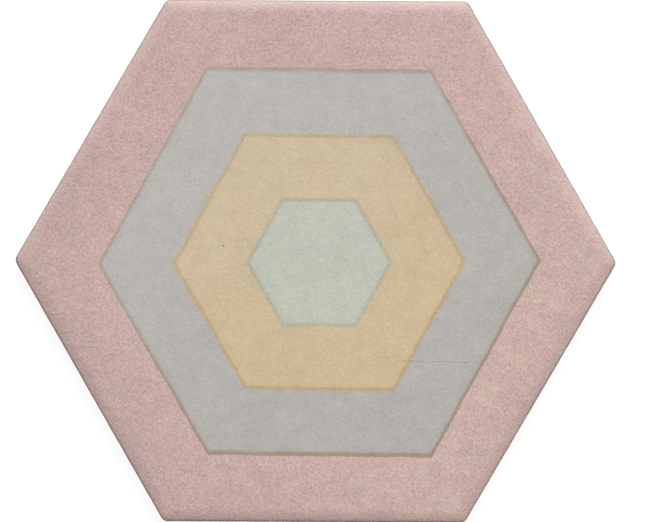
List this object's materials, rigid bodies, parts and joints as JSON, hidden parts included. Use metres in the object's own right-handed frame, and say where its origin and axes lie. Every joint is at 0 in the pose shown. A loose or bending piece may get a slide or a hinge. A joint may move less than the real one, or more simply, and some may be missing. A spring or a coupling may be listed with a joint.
{
  "type": "hexagonal wall tile",
  "caption": "Flat hexagonal glazed ceramic wall tile with cushioned edges, a printed face of concentric hexagons and a keyed honeycomb back for bedding in adhesive.",
  "frame": {"origin": "centre of the back, on the plane of its rim and ribs", "axes": "+Z out of the printed face, +X from the centre towards a corner of the hexagon, +Y towards the middle of a side"},
  "size_m": [0.23, 0.2, 0.0085],
  "materials": {
    "glazed_face": "satin"
  },
  "bodies": {
    "root": {"tile": "glazed_face"}
  },
  "joints": []
}
